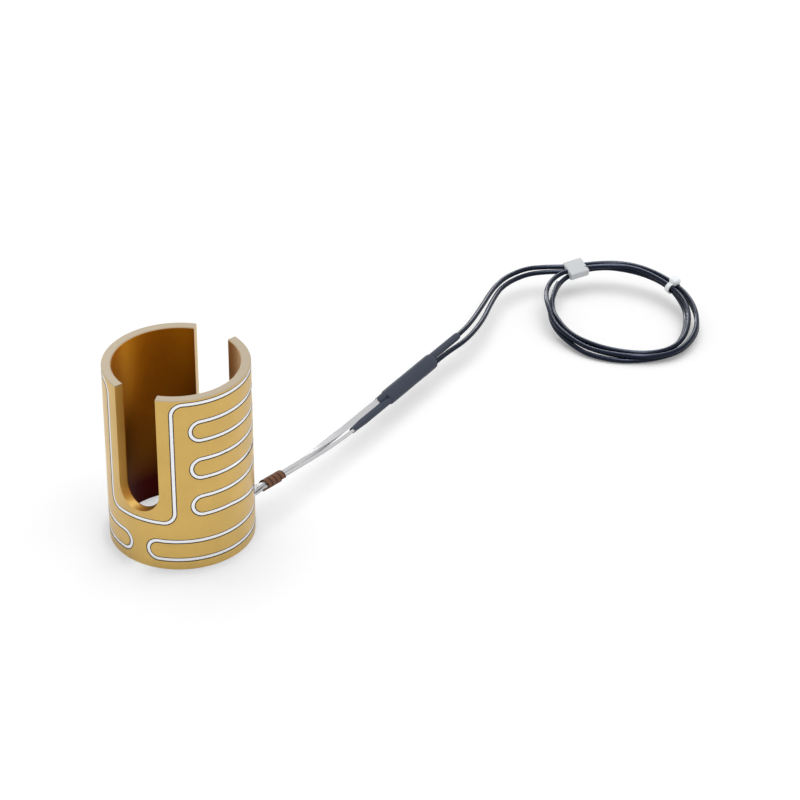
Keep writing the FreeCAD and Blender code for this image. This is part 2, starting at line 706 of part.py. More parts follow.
def make_parts():
    parts = {}
    parts["sleeve"] = make_sleeve()
    parts["heating_element"] = make_element()
    parts["binding_wrap"] = make_wrap()
    for side, label in ((-1, "upper"), (1, "lower")):
        parts["joint_sleeve_" + label] = make_joint_sleeve(side)
        for name, shape in make_joint_inside(side).items():
            parts[name + "_" + label] = shape
    parts["outer_sleeve"] = make_outer_sleeve()
    coil = make_coil()
    tag = make_tag(coil)
    parts["lead_coil"] = coil
    parts["tag"] = tag
    parts["cable_tie"] = make_tie(coil)
    for side, label in ((-1, "upper"), (1, "lower")):
        name = "lead_" + label
        tube = make_tube(name, lead_route(side), LEAD_RADIUS)
        parts[name] = tube.cut([coil, tag])
    return parts


def main():
    os.makedirs("parts", exist_ok=True)
    for name, shape in make_parts().items():
        if len(shape.Solids) == 1:
            shape = shape.Solids[0]
        shape.exportStep("parts/" + name + ".step")
        box = shape.BoundBox
        print(name, shape.ShapeType, "solids", len(shape.Solids), "valid", shape.isValid(),
              "volume", round(shape.Volume, 2), "z", round(box.ZMin, 2), round(box.ZMax, 2))


main()
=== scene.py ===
import math

import bpy
from mathutils import Matrix, Vector


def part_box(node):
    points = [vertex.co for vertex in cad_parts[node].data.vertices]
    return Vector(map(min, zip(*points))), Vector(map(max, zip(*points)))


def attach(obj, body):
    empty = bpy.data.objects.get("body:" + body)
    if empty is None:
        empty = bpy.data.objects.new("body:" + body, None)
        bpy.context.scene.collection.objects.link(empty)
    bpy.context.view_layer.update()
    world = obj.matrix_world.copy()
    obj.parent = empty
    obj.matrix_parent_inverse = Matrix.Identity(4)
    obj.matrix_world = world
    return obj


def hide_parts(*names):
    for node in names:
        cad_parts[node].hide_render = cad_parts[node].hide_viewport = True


bl_info = {
    "name": "Nozzle Heater",
    "version": (1, 0, 0),
    "blender": (4, 5, 0),
    "location": "3D View > Sidebar > Heater",
    "description": "Dresses the hot runner nozzle heater: brass sleeve, element, splice, leads and stage",
    "category": "Object",
}

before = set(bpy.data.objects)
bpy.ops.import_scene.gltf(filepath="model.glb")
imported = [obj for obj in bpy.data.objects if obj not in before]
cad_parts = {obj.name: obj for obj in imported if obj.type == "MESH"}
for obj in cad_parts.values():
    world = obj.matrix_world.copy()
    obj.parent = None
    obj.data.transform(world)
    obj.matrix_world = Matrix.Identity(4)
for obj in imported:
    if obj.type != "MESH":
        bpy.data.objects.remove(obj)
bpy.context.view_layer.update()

MM = 0.001
BODY = "root"
LABELS = ("upper", "lower")

# The sleeve as the frame holds it: radii, height and the slots' foot, in millimetres. The slots' edges
# lie where X is this share of Y. A wall along a radius turns its face from the radius by this cosine.
BORE_RADIUS = 26.0
GROOVE_RADIUS = 27.4
SLEEVE_RADIUS = 30.0
SLEEVE_HEIGHT = 81.0
SLOT_FOOT = 25.0
SLOT_SLOPE = 0.354
WALL_FACING = 0.25

# Straight line of the splice: the lower lead's joint starts here, millimetres
SPLICE_START = Vector((28.2, 86.0, 11.9))
SPLICE_END = Vector((29.7, 172.3, 11.5))
SPLICE_TILT = 42.0
SPLICE_HALF_SPACING = 1.48

# The wound strip: its pitch, and its axis with two directions across it
WRAP_PITCH = 2.6
WRAP_WAYS = ((0.162, 0.986, -0.032), (0.973, -0.165, -0.162), (-0.165, -0.004, -0.986))

# Sections of the shrunk skins: distance along the splice, half width, half height, millimetres
LOWER_SKIN = (
    (-1.6, 1.2, 1.55), (-0.6, 1.3, 1.65), (4.0, 1.45, 1.7), (7.5, 1.65, 1.65), (40.0, 1.65, 1.65),
    (63.6, 1.6, 1.6),
)
UPPER_SKIN = (
    (21.3, 1.6, 1.1), (22.4, 1.7, 1.2), (26.0, 1.75, 1.4), (29.0, 1.7, 1.7), (60.0, 1.7, 1.7),
    (84.6, 1.68, 1.68), (86.3, 1.5, 1.5),
)
OUTER_SKIN = (
    (26.7, 3.25, 1.8), (27.5, 3.45, 2.0), (30.0, 3.5, 2.05), (45.0, 3.45, 2.0), (61.5, 3.5, 2.05),
    (63.4, 3.4, 1.95), (64.1, 3.15, 1.8),
)
SKIN_WALL = 0.2

# Route of each lead from its crimp to the coil, millimetres
UPPER_ROUTE = (
    (28.103, 143.714, 12.623),
    (28.48, 165.1, 12.52),
    (28.729, 179.709, 12.456),
    (26.0, 194.8, 12.1),
    (19.4, 223.0, 11.8),
    (23.6, 239.5, 11.7),
    (31.6, 246.6, 11.6),
    (40.9, 252.4, 11.6),
)
LOWER_ROUTE = (
    (29.96, 123.97, 10.734),
    (30.33, 145.3, 10.63),
    (30.585, 159.97, 10.566),
    (32.2, 174.0, 10.3),
    (30.0, 191.5, 10.0),
    (24.6, 209.5, 9.9),
    (21.6, 224.0, 9.9),
    (25.4, 238.2, 9.9),
    (33.0, 245.4, 10.0),
    (41.8, 250.8, 10.1),
)
UPPER_EXIT = (28.6, 172.29, 12.49)
LOWER_EXIT = (30.42, 149.98, 10.61)

# Coil: a tilted oval of four arcs, millimetres and degrees. The tag and the tie are placed by the
# bearing of its outward normal, the strands by their direction from its centre.
COIL_CENTRE = Vector((75.6, 237.45, 6.6))
COIL_HALF_LONG = 36.5
COIL_HALF_SHORT = 30.2
COIL_END_RADIUS = 20.0
COIL_LONG_DIRECTION = 159.0
COIL_TILT = 6.9
COIL_RISE_DIRECTION = 121.7
TAG_BEARING = 148.8
TIE_BEARING = 68.0
LAY_START = 152.2
TURN_STEP = 12.0

# Cable tie: the size of its head and its cut end, and where they sit on the strap, millimetres
TIE_HEAD_SIZE = (4.4, 3.4, 4.4)
TIE_HEAD_PLACE = Vector((1.3, 2.9, 0.0))
TIE_TAIL_SIZE = (0.8, 2.4, 1.9)
TIE_TAIL_PLACE = Vector((3.6, 0.6, 0.0))
STRAP_HALF_HEIGHT = 2.15
STRAP_OVALITY = 1.45
TAG_RAISED = 0.3

# Where the lamps stand and what they light, metres
LAMP_AIM = Vector((0.06, 0.09, 0.03))
KEY_PLACE = Vector((0.1, 0.45, 1.5))
TOP_GLINT_PLACE = Vector((0.12, 0.3, 1.5))
SIDE_GLINT_PLACE = Vector((-1.15, 0.8, 0.45))
GLINT_SIZE = (0.22, 0.22)
OVER_STRIP_HEIGHT = 1.2
OVER_STRIP_SIZE = (0.3, 2.4)
BEHIND_STRIP_DISTANCE = 1.1
BEHIND_STRIP_HEIGHT = 0.7
BEHIND_STRIP_SIZE = (1.0, 0.3)
FLOOR_LIFT = 0.16

# Place of each lead in the bundle: degrees travelled from the tag, outwards, upwards
UPPER_LAY = (
    (0, 1.1, 1.15), (10, 0.7, 1.1), (40, 2.0, 1.0), (75, 1.2, 1.1), (110, 1.8, 1.1), (145, 2.3, 1.0),
    (165, 1.8, 0.9), (185, 1.2, 0.9), (200, 0.6, 1.0), (218, 0.0, 0.6), (240, 0.7, 0.3), (262, 1.1, 1.0),
    (281, 1.5, 1.2), (300, 0.9, 1.9), (325, 2.4, 0.9), (342, 2.3, 0.8), (353, 0.4, 0.9), (362, -1.2, 0.8),
    (370, -1.3, 0.9), (385, -1.0, 1.1), (400, -0.1, 1.1), (435, -1.35, 1.1), (470, -1.2, 1.1),
    (500, -1.7, 1.1), (525, -1.3, 1.05), (545, -1.0, 1.3), (578, -2.2, 1.1), (600, -2.0, 1.0),
    (622, -1.1, 0.9), (648, -1.2, 0.8), (664, -0.9, 0.0), (685, -1.3, 0.9), (702, -1.5, 0.9),
)
LOWER_LAY = (
    (0, 2.1, -0.9), (10, 2.8, -1.1), (40, 2.1, -1.15), (75, 2.1, -1.1), (110, 2.1, -1.1),
    (145, 2.5, -1.15), (165, 0.95, -1.2), (185, -0.1, -1.05), (200, 1.0, -1.2), (218, 1.9, -1.3),
    (240, 2.7, -1.4), (262, 1.8, -1.2), (281, 1.5, -1.2), (300, 0.3, -1.3), (325, -1.2, -1.2),
    (342, -0.9, -1.1), (353, -0.9, -1.1), (362, -0.7, -1.2), (370, -0.1, -1.1), (385, 0.2, -1.0),
    (400, -0.1, -1.1), (435, -0.35, -1.1), (470, -2.0, -1.05), (500, -3.0, -0.9), (525, -2.8, -1.2),
    (545, -2.3, -1.1), (578, -1.6, -1.2), (600, -1.2, -1.2), (622, -1.0, -1.2), (645, -1.5, -1.2),
)


def linear(code):
    """The linear colour, with full alpha, of an sRGB hex code."""
    channels = [int(code[i:i + 2], 16) / 255.0 for i in (1, 3, 5)]
    turned = [c / 12.92 if c <= 0.04045 else ((c + 0.055) / 1.055) ** 2.4 for c in channels]
    return (*turned, 1.0)


def add_node(tree, kind, inputs=None, **settings):
    """Add a node with its settings. An input given a socket is linked, and any other is set."""
    node = tree.nodes.new(kind)
    for name, value in settings.items():
        setattr(node, name, value)
    for socket, value in (inputs or {}).items():
        if isinstance(value, bpy.types.NodeSocket):
            tree.links.new(value, node.inputs[socket])
        else:
            node.inputs[socket].default_value = value
    return node


def new_material(name):
    """An empty material, its node tree and its shader."""
    material = bpy.data.materials.new(name)
    material.use_nodes = True
    tree = material.node_tree
    tree.nodes.clear()
    shader = add_node(tree, "ShaderNodeBsdfPrincipled")
    add_node(tree, "ShaderNodeOutputMaterial", {"Surface": shader.outputs["BSDF"]})
    return material, tree, shader


def colour_property(name, code):
    return bpy.props.FloatVectorProperty(
        name=name, description="Colour of the " + name.lower(), subtype="COLOR", size=4,
        min=0.0, max=1.0, default=linear(code))


def millimetre_property(name, description, default):
    return bpy.props.FloatProperty(
        name=name, description=description + ", in millimetres", default=default, min=0.0)


class HeaterLooks(bpy.types.PropertyGroup):
    """Colours and finishes of the heater's surfaces."""
    brass: colour_property("Brass", "#DAB45F")
    brass_roughness: bpy.props.FloatProperty(
        name="Brass roughness", description="Roughness of the blasted brass", default=0.42,
        min=0.0, max=1.0, subtype="FACTOR")
    # The bore's colours carry painted shade: darkest at the foot, paler beside the rear slot
    bore: colour_property("Bore at the top", "#E29B20")
    bore_foot: colour_property("Bore at the foot", "#400804")
    bore_beside_slot: colour_property("Bore beside the rear slot", "#D9B27A")
    rim: colour_property("Rim", "#B3A48B")
    sheath: colour_property("Element sheath", "#FCFCFF")
    legs: colour_property("Cold legs", "#C9C9CB")
    binding: colour_property("Binding strip", "#744D37")
    shrink: colour_property("Heat-shrink", "#363D4C")
    insulation: colour_property("Lead insulation", "#0B1122")
    tag: colour_property("Tag", "#D2D5D8")
    tie: colour_property("Cable tie", "#FAFDFF")


class HeaterLeads(bpy.types.PropertyGroup):
    """Sizes of the leads."""
    diameter: millimetre_property("Diameter", "Outside of the lead's insulation", 2.2)
    length: millimetre_property("Length", "Real length of each lead", 510.0)


class HeaterTrim(bpy.types.PropertyGroup):
    """Sizes of the tag and the cable tie."""
    tag_length: millimetre_property("Tag length", "Tag along the leads", 9.8)
    tag_width: millimetre_property("Tag width", "Tag across the leads", 9.0)
    tag_height: millimetre_property("Tag height", "Tag's thickness over the leads", 3.9)
    tag_roll: bpy.props.FloatProperty(
        name="Tag roll", description="How far the tag's inner edge hangs lower",
        default=math.radians(11.0), subtype="ANGLE", unit="ROTATION")
    strap_width: millimetre_property("Strap width", "Width of the cable tie's strap", 2.4)
    strap_thickness: millimetre_property("Strap thickness", "Thickness of the cable tie's strap", 0.7)


class HeaterStage(bpy.types.PropertyGroup):
    """Camera, lamps and floor."""
    camera_place: bpy.props.FloatVectorProperty(
        name="Camera place", description="Where the camera stands", subtype="XYZ", unit="LENGTH",
        default=(0.6814, -0.9330, 0.7976))
    camera_turn: bpy.props.FloatProperty(
        name="Camera turn", description="Turn of the view about the upright axis", subtype="ANGLE",
        unit="ROTATION", default=math.radians(31.7))
    camera_pitch: bpy.props.FloatProperty(
        name="Camera pitch", description="How far the view looks down", subtype="ANGLE", unit="ROTATION",
        default=math.radians(32.54447))
    lens: bpy.props.FloatProperty(name="Lens", description="Focal length in millimetres", default=152.88)
    key_power: bpy.props.FloatProperty(
        name="Key power", description="Strength of the soft light from overhead", default=1.5, min=0.0)
    top_glint: bpy.props.FloatProperty(
        name="Top glint", description="Power of the small lamp overhead that glossy surfaces mirror",
        default=4.0, min=0.0, unit="POWER")
    side_glint: bpy.props.FloatProperty(
        name="Side glint", description="Power of the small lamp at the back that glossy surfaces mirror",
        default=5.0, min=0.0, unit="POWER")
    over_strip: bpy.props.FloatProperty(
        name="Over strip", description="Power of the long lamp over the coil, for the leads only",
        default=20.0, min=0.0, unit="POWER")
    behind_strip: bpy.props.FloatProperty(
        name="Behind strip", description="Power of the long lamp behind, for the leads only",
        default=9.0, min=0.0, unit="POWER")
    surround: bpy.props.FloatProperty(
        name="Surround", description="Strength of the light from all sides", default=0.5, min=0.0)


# Materials

def compute(tree, operation, *values):
    """The result of arithmetic on sockets and numbers."""
    return add_node(tree, "ShaderNodeMath", dict(enumerate(values)), operation=operation).outputs[0]


def compute_vector(tree, operation, *values):
    """The outputs of arithmetic on vectors."""
    return add_node(tree, "ShaderNodeVectorMath", dict(enumerate(values)), operation=operation).outputs


def remap(tree, value, low, high, new_low=0.0, new_high=1.0):
    """A value taken from one range to another, and held within it."""
    return add_node(tree, "ShaderNodeMapRange", {
        "Value": value, "From Min": low, "From Max": high, "To Min": new_low, "To Max": new_high,
    }).outputs["Result"]


def band(tree, value, low, high, soft):
    """One between two values of a socket, nought outside, with soft ends."""
    rise = remap(tree, value, low - soft, low)
    fall = remap(tree, value, high + soft, high)
    return compute(tree, "MULTIPLY", rise, fall)


def blend(tree, factor, first, second, kind="MIX"):
    """The colour of one input blended into the other by a factor."""
    return add_node(tree, "ShaderNodeMix", {"Factor": factor, "A": first, "B": second},
                    data_type="RGBA", blend_type=kind).outputs[2]


def noise(tree, place, scale, detail, roughness):
    """Fractal noise with so many spots to the metre."""
    return add_node(tree, "ShaderNodeTexNoise", {
        "Vector": place, "Scale": scale, "Detail": detail, "Roughness": roughness}).outputs["Fac"]


def spread_noise(tree, grain, low, high):
    """Noise, whose values lie mostly in the middle of its range, taken to a range of factors."""
    return remap(tree, grain, 0.3, 0.7, low, high)


def add_relief(tree, shader, grain, strength, depth):
    """Relief of a surface's grain, its depth in millimetres."""
    bump = add_node(tree, "ShaderNodeBump", {"Height": grain, "Strength": strength, "Distance": depth * MM})
    tree.links.new(bump.outputs["Normal"], shader.inputs["Normal"])


def object_place(tree):
    return add_node(tree, "ShaderNodeTexCoord").outputs["Object"]


def split(tree, place):
    """The X, Y and Z of a place."""
    return add_node(tree, "ShaderNodeSeparateXYZ", {0: place}).outputs


def from_axis(tree, place):
    """Distance from the bore's axis in metres, and one on walls that stand along a radius."""
    flat = compute_vector(tree, "MULTIPLY", place, (1.0, 1.0, 0.0))["Vector"]
    away = compute_vector(tree, "LENGTH", flat)["Value"]
    radial = compute_vector(tree, "NORMALIZE", flat)["Vector"]
    facing = add_node(tree, "ShaderNodeNewGeometry").outputs["True Normal"]
    turned = compute_vector(tree, "DOT_PRODUCT", radial, facing)["Value"]
    return away, compute(tree, "LESS_THAN", compute(tree, "ABSOLUTE", turned), WALL_FACING)


def edge_lines(tree, reach):
    """One along the sharp edges of a piece, on both sides of them, as far as a reach in millimetres."""
    facing = add_node(tree, "ShaderNodeNewGeometry").outputs["Normal"]
    rounded = add_node(tree, "ShaderNodeBevel", {"Radius": reach * MM}, samples=8).outputs["Normal"]
    same = compute_vector(tree, "DOT_PRODUCT", rounded, facing)["Value"]
    return remap(tree, same, 0.99, 0.95)


def groove_shade_mask(tree, x, y, z, away, wall):
    """One where the grooves' painted shade goes: on the walls, floors and lips of the milled grooves."""
    # The slots have such walls too, near the Y axis and above their foot
    aside = compute(tree, "ABSOLUTE", x)
    slope = compute(tree, "MULTIPLY_ADD", compute(tree, "ABSOLUTE", y), -SLOT_SLOPE, aside)
    beside_slots = compute(tree, "GREATER_THAN", slope, 0.5 * MM)
    under_slots = compute(tree, "LESS_THAN", z, (SLOT_FOOT - 0.5) * MM)
    off_slots = compute(tree, "MAXIMUM", beside_slots, under_slots)
    deep = band(tree, away, (GROOVE_RADIUS - 0.5) * MM, (SLEEVE_RADIUS - 1.1) * MM, 0.1 * MM)
    walls = compute(tree, "MULTIPLY", deep, wall)
    floors = band(tree, away, (GROOVE_RADIUS - 0.5) * MM, (GROOVE_RADIUS + 1.1) * MM, 0.1 * MM)
    outside = band(tree, away, (SLEEVE_RADIUS - 0.6) * MM, (SLEEVE_RADIUS + 0.2) * MM, 0.1 * MM)
    lips = compute(tree, "MULTIPLY", edge_lines(tree, 0.42), outside)
    cut = compute(tree, "MAXIMUM", compute(tree, "MAXIMUM", walls, floors), lips)
    off_ends = band(tree, z, 0.6 * MM, (SLEEVE_HEIGHT - 0.6) * MM, 0.1 * MM)
    return compute(tree, "MULTIPLY", compute(tree, "MULTIPLY", cut, off_ends), off_slots)


def bore_painted_shade(tree, looks, place, x, z):
    """Colour of the bore with painted shade: darker brown towards its foot and towards the rear slot, and
    paler just beyond it.
    """
    height = remap(tree, z, 10.0 * MM, 80.0 * MM)
    hue = blend(tree, height, looks.bore_foot, looks.bore)
    toward = compute_vector(tree, "DOT_PRODUCT", place, (0.85, 0.53, 0.0))["Value"]
    shade_share = remap(tree, toward, -22.0 * MM, 8.0 * MM)
    shade = blend(tree, shade_share, linear("#FFFFFF"), linear("#A58A60"))
    hue = blend(tree, 1.0, hue, shade, "MULTIPLY")
    beyond = remap(tree, x, 2.0 * MM, 9.0 * MM)
    return blend(tree, beyond, hue, looks.bore_beside_slot)


def blasted_brass(looks):
    """Machined brass, then fine bead blasted: an even satin yellow metal with faint mottling. The bore is
    left as turned and carries painted shade, brown and darkest towards its foot; the end faces are bare from
    the lathe and paler, and the milled grooves carry painted shade, near black on their walls, floors and
    lips."""
    material, tree, shader = new_material("blasted_brass")
    place = object_place(tree)
    x, y, z = split(tree, place)
    away, wall = from_axis(tree, place)
    grain = noise(tree, place, 1800.0, 3.0, 0.6)
    cloud = noise(tree, place, 90.0, 4.0, 0.55)
    outside = blend(tree, 1.0, looks.brass, spread_noise(tree, cloud, 0.94, 1.04), "MULTIPLY")
    bore = band(tree, away, 20.0 * MM, (BORE_RADIUS + 0.25) * MM, 0.15 * MM)
    # Painted shade inside the bore
    colour = blend(tree, bore, outside, bore_painted_shade(tree, looks, place, x, z))
    rim = remap(tree, z, (SLEEVE_HEIGHT - 0.5) * MM, (SLEEVE_HEIGHT - 0.2) * MM)
    colour = blend(tree, rim, colour, looks.rim)
    # Painted shade: the grooves' walls, floors and lips are coloured near black
    groove_shade = groove_shade_mask(tree, x, y, z, away, wall)
    tree.links.new(blend(tree, groove_shade, colour, linear("#0C0704")), shader.inputs["Base Color"])
    rough = spread_noise(tree, grain, looks.brass_roughness - 0.04, looks.brass_roughness + 0.05)
    tree.links.new(rough, shader.inputs["Roughness"])
    add_relief(tree, shader, grain, 0.25, 0.02)
    tree.links.new(remap(tree, bore, 0.0, 1.0, 0.8, 0.0), shader.inputs["Coat Weight"])
    shader.inputs["Metallic"].default_value = 1.0
    shader.inputs["Coat Roughness"].default_value = 0.35
    return material


def drawn_sheath(looks):
    """Cold-drawn steel sheath with the fine scratches of drawing and pressing: bright on the face that is
    ground flush, with painted shade, near black, on its sides down in the groove and in thin lines along its
    edges, and a duller grey along the unheated legs, with dark painted shade lines along their edges."""
    material, tree, shader = new_material("drawn_sheath")
    place = object_place(tree)
    x, y, z = split(tree, place)
    away, wall = from_axis(tree, place)
    grain = noise(tree, place, 1500.0, 4.0, 0.6)
    scratches = spread_noise(tree, grain, 0.97, 1.01)
    # One run of the face has long slanting facets, whose inner edges get no painted shade line
    run = band(tree, z, 43.25 * MM, 44.35 * MM, 0.05 * MM)
    run = compute(tree, "MULTIPLY", run, compute(tree, "GREATER_THAN", x, 25.0 * MM))
    shade_lines = add_node(tree, "ShaderNodeMath", {0: edge_lines(tree, 0.2), 1: run},
                     operation="SUBTRACT", use_clamp=True).outputs[0]
    held = band(tree, away, 26.0 * MM, SLEEVE_RADIUS * MM, 0.1 * MM)
    # Painted shade: near black on the sides down in the groove and along the sharp edges
    sheath_shade = compute(tree, "MAXIMUM", compute(tree, "MULTIPLY", held, wall), shade_lines)
    face = blend(tree, 1.0, looks.sheath, scratches, "MULTIPLY")
    face = blend(tree, sheath_shade, face, linear("#0E0B08"))
    dull = blend(tree, 1.0, looks.legs, scratches, "MULTIPLY")
    # Painted shade: dark lines along the legs' edges
    dull = blend(tree, shade_lines, dull, linear("#6C6A68"))
    leg = remap(tree, away, (SLEEVE_RADIUS + 0.2) * MM, (SLEEVE_RADIUS + 0.8) * MM)
    tree.links.new(blend(tree, leg, face, dull), shader.inputs["Base Color"])
    satin = remap(tree, leg, 0.0, 1.0, 0.26, 0.5)
    tree.links.new(compute(tree, "MULTIPLY_ADD", grain, 0.1, satin), shader.inputs["Roughness"])
    shader.inputs["Metallic"].default_value = 1.0
    return material


def moulded(name, colour, roughness, grain_size, depth, spread=0.05, specular=0.5):
    """Plain plastic: one colour with a faint mottle and the fine grain of its surface, in millimetres."""
    material, tree, shader = new_material(name)
    grain = noise(tree, object_place(tree), 1.0 / (grain_size * MM), 3.0, 0.55)
    tint = spread_noise(tree, grain, 1.0 - spread, 1.0 + spread)
    tree.links.new(blend(tree, 1.0, colour, tint, "MULTIPLY"), shader.inputs["Base Color"])
    add_relief(tree, shader, grain, 0.3, depth)
    shader.inputs["Roughness"].default_value = roughness
    shader.inputs["Specular IOR Level"].default_value = specular
    return material, tree, shader


def wound_tape(looks):
    """Coated glass tape, wound edge to edge: dull brown with the grain of its weave, and a dark line of
    painted shade where each turn meets the next."""
    material, tree, shader = moulded("wound_tape", looks.binding, 0.6, 0.35, 0.05, 0.12, 0.25)
    low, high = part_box("binding_wrap")
    middle = (Vector(low) + Vector(high)) / 2.0
    offset = compute_vector(tree, "SUBTRACT", object_place(tree), middle)["Vector"]
    along, across, up = (Vector(way) for way in WRAP_WAYS)
    far, side, rise = (
        compute_vector(tree, "DOT_PRODUCT", offset, way)["Value"]
        for way in (along / (WRAP_PITCH * MM), across, up))
    # The seam's painted shade line moves one pitch along for each turn about the axis
    turn = compute(tree, "ARCTAN2", rise, side)
    phase = compute(tree, "FRACT", compute(tree, "MULTIPLY_ADD", turn, -0.5 / math.pi, far))
    seam_shade = band(tree, phase, 0.44, 0.56, 0.04)
    # Painted shade: a near-black line along the seam between turns
    socket = shader.inputs["Base Color"]
    plain = socket.links[0].from_socket
    tree.links.new(blend(tree, seam_shade, plain, linear("#150C08")), socket)
    return material


def glossy_insulation(looks):
    """Extruded fluoropolymer: near black, glossy with a blue cast, with the slight waviness of its draw."""
    material, tree, shader = moulded("glossy_insulation", looks.insulation, 0.22, 5.0, 0.02, 0.04, 0.27)
    shader.inputs["Specular Tint"].default_value = linear("#C4D2F0")
    return material


def bright_metal(name, code, roughness):
    """Plated or solid bright metal of the hidden joint pieces, with fine drawing marks."""
    material, tree, shader = new_material(name)
    grain = noise(tree, object_place(tree), 900.0, 3.0, 0.5)
    rough = remap(tree, grain, 0.0, 1.0, roughness - 0.06, roughness + 0.06)
    tree.links.new(rough, shader.inputs["Roughness"])
    shader.inputs["Base Color"].default_value = linear(code)
    shader.inputs["Metallic"].default_value = 1.0
    return material


def dress(node, material):
    """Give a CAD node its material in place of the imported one."""
    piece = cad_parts[node]
    piece.data.materials.clear()
    piece.data.materials.append(material)
    bpy.ops.object.select_all(action="DESELECT")
    piece.select_set(True)
    bpy.context.view_layer.objects.active = piece
    bpy.ops.object.shade_smooth_by_angle(angle=math.radians(30.0))


# Geometry of the splice and of the coil

def splice_matrix(side):
    """Places a shape drawn along +Z on the splice's line, or a share of the half spacing to one side of
    it, its X towards the lower lead."""
    along = (SPLICE_END - SPLICE_START).normalized()
    level = along.cross(Vector((0, 0, 1))).normalized()
    raised = level.cross(along)
    tilt = math.radians(SPLICE_TILT)
    across = level * math.cos(tilt) - raised * math.sin(tilt)
    normal = along.cross(across)
    centre = SPLICE_START + across * (side * SPLICE_HALF_SPACING)
    turn = Matrix((across, normal, along)).transposed().to_4x4()
    return Matrix.Translation(centre * MM) @ turn


def coil_tilt():
    rise = math.radians(COIL_RISE_DIRECTION)
    axis = Vector((math.sin(rise), -math.cos(rise), 0.0))
    return Matrix.Rotation(math.radians(COIL_TILT), 3, axis)


def coil_arcs():
    """End and side arcs of the oval: reach of their centres, their radii and the ends' half angle."""
    end_reach = COIL_HALF_LONG - COIL_END_RADIUS
    spare = COIL_HALF_SHORT - COIL_END_RADIUS
    side_radius = (end_reach**2 + COIL_HALF_SHORT**2 - COIL_END_RADIUS**2) / (2.0 * spare)
    side_reach = side_radius - COIL_HALF_SHORT
    return end_reach, side_radius, side_reach, math.degrees(math.atan2(side_reach, end_reach))


def coil_radius(direction):
    """Distance from the coil's centre to its middle line in a direction."""
    end_reach, side_radius, side_reach, _ = coil_arcs()
    away = math.radians(direction - COIL_LONG_DIRECTION)
    along = abs(math.cos(away))
    across = abs(math.sin(away))
    joint = Vector((end_reach, 0.0)) + COIL_END_RADIUS * Vector((end_reach, side_reach)).normalized()
    if across * joint.x <= along * joint.y:
        return end_reach * along + math.sqrt(COIL_END_RADIUS**2 - (end_reach * across)**2)
    return math.sqrt(side_radius**2 - (side_reach * along)**2) - side_reach * across


def coil_point(direction, out, up):
    """A point of the coil, in metres."""
    turn = math.radians(direction)
    radius = coil_radius(direction) + out
    flat = Vector((radius * math.cos(turn), radius * math.sin(turn), up))
    return (COIL_CENTRE + coil_tilt() @ flat) * MM


def coil_matrix(bearing):
    """Places a shape on the coil where its outward normal has a bearing: X outwards, Y up, Z along the
    strands."""
    end_reach, side_radius, side_reach, spread = coil_arcs()
    long_way = COIL_LONG_DIRECTION
    turned = (bearing - long_way + spread) % 180.0
    if turned > 2.0 * spread:
        half = long_way - 90.0 if (bearing - long_way) % 360.0 < 180.0 else long_way + 90.0
        reach, radius = side_reach, side_radius
    else:
        half = long_way if math.cos(math.radians(bearing - long_way)) > 0.0 else long_way + 180.0
        reach, radius = end_reach, COIL_END_RADIUS
    centre = Vector((math.cos(math.radians(half)), math.sin(math.radians(half)), 0.0)) * reach
    normal = Vector((math.cos(math.radians(bearing)), math.sin(math.radians(bearing)), 0.0))
    tilt = coil_tilt()
    outward = tilt @ normal
    upward = tilt @ Vector((0.0, 0.0, 1.0))
    turn = Matrix((outward, upward, outward.cross(upward))).transposed().to_4x4()
    return Matrix.Translation((COIL_CENTRE + tilt @ (centre + normal * radius)) * MM) @ turn


def lay_at(stations, travelled):
    """Offsets outwards and upwards in the bundle at an angle travelled from the tag."""
    for (a, out_a, up_a), (b, out_b, up_b) in zip(stations, stations[1:]):
        if travelled <= b:
            part = (travelled - a) / (b - a)
            part = part * part * (3.0 - 2.0 * part)
            return out_a + (out_b - out_a) * part, up_a + (up_b - up_a) * part
    return stations[-1][1:]


def coil_turns(stations):
    """Points of one lead's turns, from its first station to its last."""
    points = []
    travelled = float(stations[0][0])
    while travelled <= stations[-1][0]:
        out, up = lay_at(stations, travelled)
        points.append(coil_point(LAY_START - travelled, out, up))
        travelled += TURN_STEP
    return points


# Modelling helpers

def new_piece(name, material, slot, *nodes):
    """Name the active object, put its place in its mesh, and let it stand for CAD nodes."""
    piece = bpy.context.view_layer.objects.active
    piece.name = name
    piece.data.name = name
    bpy.ops.object.select_all(action="DESELECT")
    piece.select_set(True)
    bpy.ops.object.transform_apply(location=True, rotation=True, scale=True)
    piece.data.materials.clear()
    piece.data.materials.append(material)
    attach(piece, BODY)
    if nodes:
        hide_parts(*nodes)


def place(matrix):
    """Move the active object, modelled about the origin, to its place."""
    piece = bpy.context.view_layer.objects.active
    piece.matrix_world = matrix @ piece.matrix_world


def add_modifier(kind, **settings):
    """Add a modifier to the active object with its settings, and apply it."""
    piece = bpy.context.view_layer.objects.active
    modifier = piece.modifiers.new(kind.title(), kind)
    for name, value in settings.items():
        setattr(modifier, name, value)
    bpy.ops.object.modifier_apply(modifier=modifier.name)


def join_new(pieces):
    """Join several new objects into the first."""
    bpy.ops.object.select_all(action="DESELECT")
    for piece in pieces:
        piece.select_set(True)
    bpy.context.view_layer.objects.active = pieces[0]
    bpy.ops.object.join()


def rounded_cube(size, corner, segments=3):
    """A rounded block about the origin, sizes in millimetres."""
    bpy.ops.object.select_all(action="DESELECT")
    bpy.ops.mesh.primitive_cube_add(size=1.0)
    cube = bpy.context.view_layer.objects.active
    cube.scale = Vector(size) * MM
    bpy.ops.object.transform_apply(location=False, rotation=False, scale=True)
    add_modifier("BEVEL", width=corner * MM, segments=segments)
    return cube


